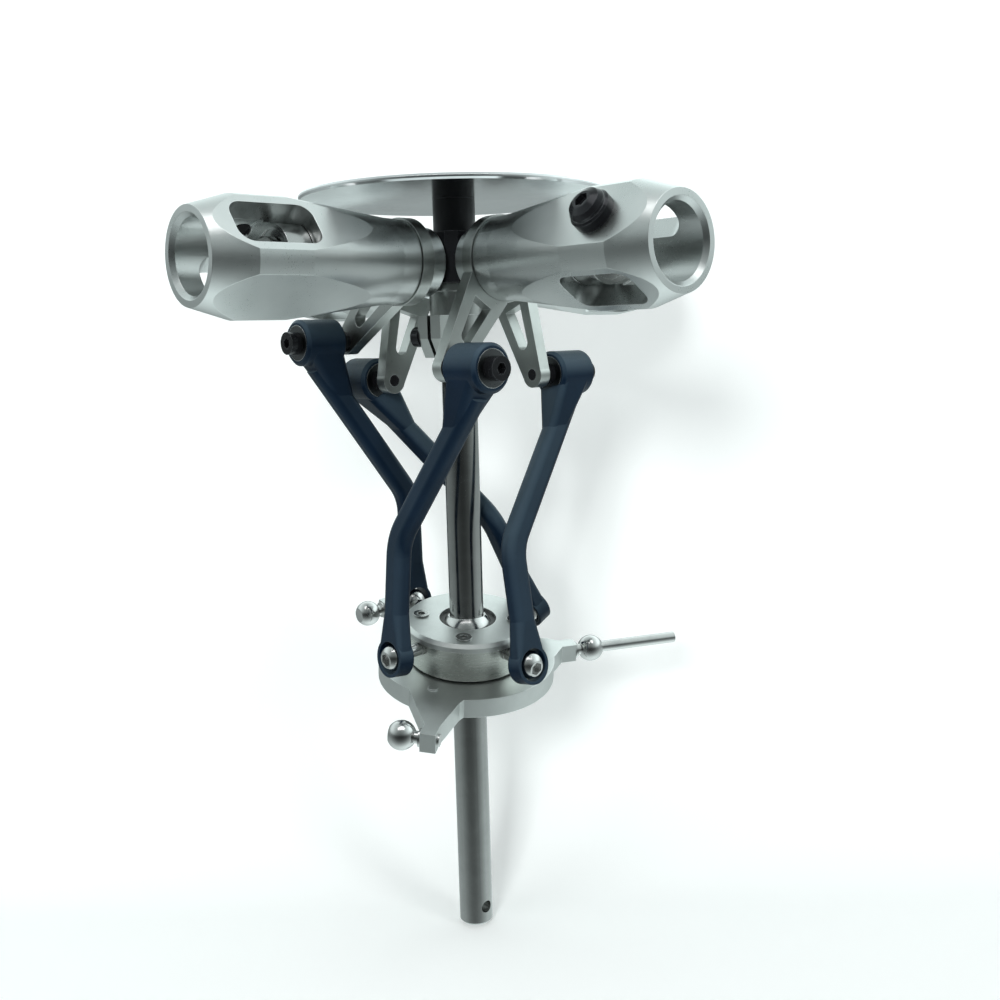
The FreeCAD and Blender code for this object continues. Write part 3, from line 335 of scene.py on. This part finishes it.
def paper():
    """Matt white paper: a glow of its own keeps it white, its shading keeps the shadows.
    It is clear from behind. The sheet is hidden from reflections, which see the room."""
    material = bpy.data.materials.new("paper")
    material.use_nodes = True
    tree = material.node_tree
    tree.nodes.clear()
    output = tree.nodes.new("ShaderNodeOutputMaterial")
    matt = tree.nodes.new("ShaderNodeBsdfDiffuse")
    matt.inputs["Color"].default_value = PAPER_COLOUR
    glow = tree.nodes.new("ShaderNodeEmission")
    glow.inputs["Color"].default_value = WHITE
    glow.inputs["Strength"].default_value = PAPER_GLOW
    both = tree.nodes.new("ShaderNodeAddShader")
    tree.links.new(matt.outputs["BSDF"], both.inputs[0])
    tree.links.new(glow.outputs["Emission"], both.inputs[1])
    front = join_shaders(tree, seen_directly(tree), matt.outputs["BSDF"],
                         both.outputs["Shader"])
    clear = tree.nodes.new("ShaderNodeBsdfTransparent")
    side = tree.nodes.new("ShaderNodeNewGeometry")
    tree.links.new(join_shaders(tree, side.outputs["Backfacing"], front,
                                clear.outputs["BSDF"]), output.inputs["Surface"])
    return material


def paper_sheet():
    """One sheet: a level floor that curves up into a leaning backdrop just behind."""
    turn = math.pi / 2 - PAPER_LEAN
    line = [(PAPER_FRONT, PAPER_FOOT)]
    for step in range(PAPER_STEPS + 1):
        angle = turn * step / PAPER_STEPS
        line.append((PAPER_START + PAPER_CURVE * math.sin(angle),
                     PAPER_FOOT + PAPER_CURVE * (1 - math.cos(angle))))
    line.append((line[-1][0] + PAPER_REACH * math.sin(PAPER_LEAN),
                 line[-1][1] + PAPER_REACH * math.cos(PAPER_LEAN)))
    corners = []
    for across in (-PAPER_REACH, PAPER_REACH):
        corners += [(across, back, up) for back, up in line]
    count = len(line)
    faces = [(step, step + count, step + count + 1, step + 1) for step in range(count - 1)]
    mesh = bpy.data.meshes.new("paper_sheet")
    mesh.from_pydata(corners, [], faces)
    mesh.materials.append(paper())
    mesh.shade_smooth()
    sheet = bpy.data.objects.new("paper_sheet", mesh)
    sheet.visible_glossy = False
    bpy.context.scene.collection.objects.link(sheet)


def studio_world():
    """White where the camera looks past the sheet, and an even dim fill for the light that
    spreads. Reflections meet the room's shell before they get here."""
    world = bpy.data.worlds.new("studio")
    world.use_nodes = True
    tree = world.node_tree
    tree.nodes.clear()
    output = tree.nodes.new("ShaderNodeOutputWorld")
    seen = tree.nodes.new("ShaderNodeBackground")
    seen.inputs["Color"].default_value = WHITE
    fill = tree.nodes.new("ShaderNodeBackground")
    fill.inputs["Color"].default_value = FILL_COLOUR
    fill.inputs["Strength"].default_value = FILL
    tree.links.new(join_shaders(tree, seen_directly(tree), fill.outputs[0],
                                seen.outputs[0]), output.inputs["Surface"])
    bpy.context.scene.world = world


def room_tone(tree, direction, place, *stops):
    """Grey along a direction: 0 straight away from it and 1 straight towards it."""
    facing = tree.nodes.new("ShaderNodeVectorMath")
    facing.operation = "DOT_PRODUCT"
    facing.inputs[1].default_value = Vector(direction).normalized()
    tree.links.new(place, facing.inputs[0])
    lift = tree.nodes.new("ShaderNodeMapRange")
    lift.inputs["From Min"].default_value = -1.0
    tree.links.new(facing.outputs["Value"], lift.inputs["Value"])
    ramp = tree.nodes.new("ShaderNodeValToRGB")
    tree.links.new(lift.outputs["Result"], ramp.inputs["Fac"])
    marks = ramp.color_ramp.elements
    while len(marks) < len(stops):
        marks.new(0.5)
    for mark, (spot, tone) in zip(marks, stops):
        mark.position = spot
        mark.color = (tone, tone, tone, 1.0)
    return ramp.outputs["Color"]


def room():
    """What the metal mirrors: a pale ceiling, dimmer walls, and the dark photographer."""
    material = bpy.data.materials.new("room")
    material.use_nodes = True
    tree = material.node_tree
    tree.nodes.clear()
    output = tree.nodes.new("ShaderNodeOutputMaterial")
    glow = tree.nodes.new("ShaderNodeEmission")
    place = tree.nodes.new("ShaderNodeTexCoord")
    unit = tree.nodes.new("ShaderNodeVectorMath")
    unit.operation = "NORMALIZE"
    tree.links.new(place.outputs["Object"], unit.inputs[0])
    tones = [room_tone(tree, direction, unit.outputs["Vector"], *stops)
             for direction, stops in ROOM]
    for tone in tones[1:]:
        product = tree.nodes.new("ShaderNodeVectorMath")
        product.operation = "MULTIPLY"
        tree.links.new(tones[0], product.inputs[0])
        tree.links.new(tone, product.inputs[1])
        tones[0] = product.outputs["Vector"]
    tint = tree.nodes.new("ShaderNodeVectorMath")
    tint.operation = "MULTIPLY"
    tint.inputs[1].default_value = ROOM_TINT
    tree.links.new(tones[0], tint.inputs[0])
    tree.links.new(tint.outputs["Vector"], glow.inputs["Color"])
    glow.inputs["Strength"].default_value = ROOM_STRENGTH
    tree.links.new(glow.outputs["Emission"], output.inputs["Surface"])
    return material


def room_shell():
    """A sphere round the object that only reflections see, in place of paper and world."""
    mesh = bpy.data.meshes.new("room_shell")
    grid = bmesh.new()
    bmesh.ops.create_uvsphere(grid, u_segments=48, v_segments=24, radius=ROOM_RADIUS)
    grid.to_mesh(mesh)
    grid.free()
    mesh.materials.append(room())
    shell = bpy.data.objects.new("room_shell", mesh)
    shell.location = MIDDLE
    shell.visible_camera = False
    shell.visible_diffuse = False
    shell.visible_transmission = False
    shell.visible_volume_scatter = False
    shell.visible_shadow = False
    bpy.context.scene.collection.objects.link(shell)


def soft_box(name, spot, aim, wide, tall, watts, mirrored=True):
    light = bpy.data.lights.new(name, "AREA")
    light.shape = "RECTANGLE"
    light.size = wide
    light.size_y = tall
    light.energy = watts
    lamp = bpy.data.objects.new(name, light)
    lamp.location = spot
    lamp.visible_glossy = mirrored
    lamp.rotation_euler = (Vector(aim) - Vector(spot)).to_track_quat("-Z", "Y").to_euler()
    bpy.context.scene.collection.objects.link(lamp)


paper_sheet()
studio_world()
room_shell()
soft_box("key_light", (-0.12, -0.5, 0.28), MIDDLE, 0.12, 0.12, 1.5, mirrored=False)
soft_box("top_light", (0.0, -0.14, 0.48), MIDDLE, 0.4, 0.22, 0.5)
soft_box("left_light", (-0.42, -0.28, 0.18), MIDDLE, 0.2, 0.3, 0.4, mirrored=False)
soft_box("right_light", (0.4, -0.34, 0.22), MIDDLE, 0.14, 0.2, 0.7, mirrored=False)

ahead = Vector((math.sin(YAW) * math.cos(PITCH), math.cos(YAW) * math.cos(PITCH),
                -math.sin(PITCH)))
level = Vector((math.cos(YAW), -math.sin(YAW), 0.0))
over = level.cross(ahead)
right = level * math.cos(ROLL) + over * math.sin(ROLL)
above = over * math.cos(ROLL) - level * math.sin(ROLL)
lens = bpy.data.cameras.new("camera")
lens.lens = CAMERA_LENS
lens.sensor_width = CAMERA_SENSOR
lens.clip_start = CAMERA_NEAR
lens.clip_end = CAMERA_FAR
camera = bpy.data.objects.new("camera", lens)
turn = Matrix((right, above, -ahead)).transposed()
camera.matrix_world = Matrix.Translation(CAMERA_SPOT) @ turn.to_4x4()
bpy.context.scene.collection.objects.link(camera)
bpy.context.scene.camera = camera
bpy.context.scene.view_settings.view_transform = "Standard"
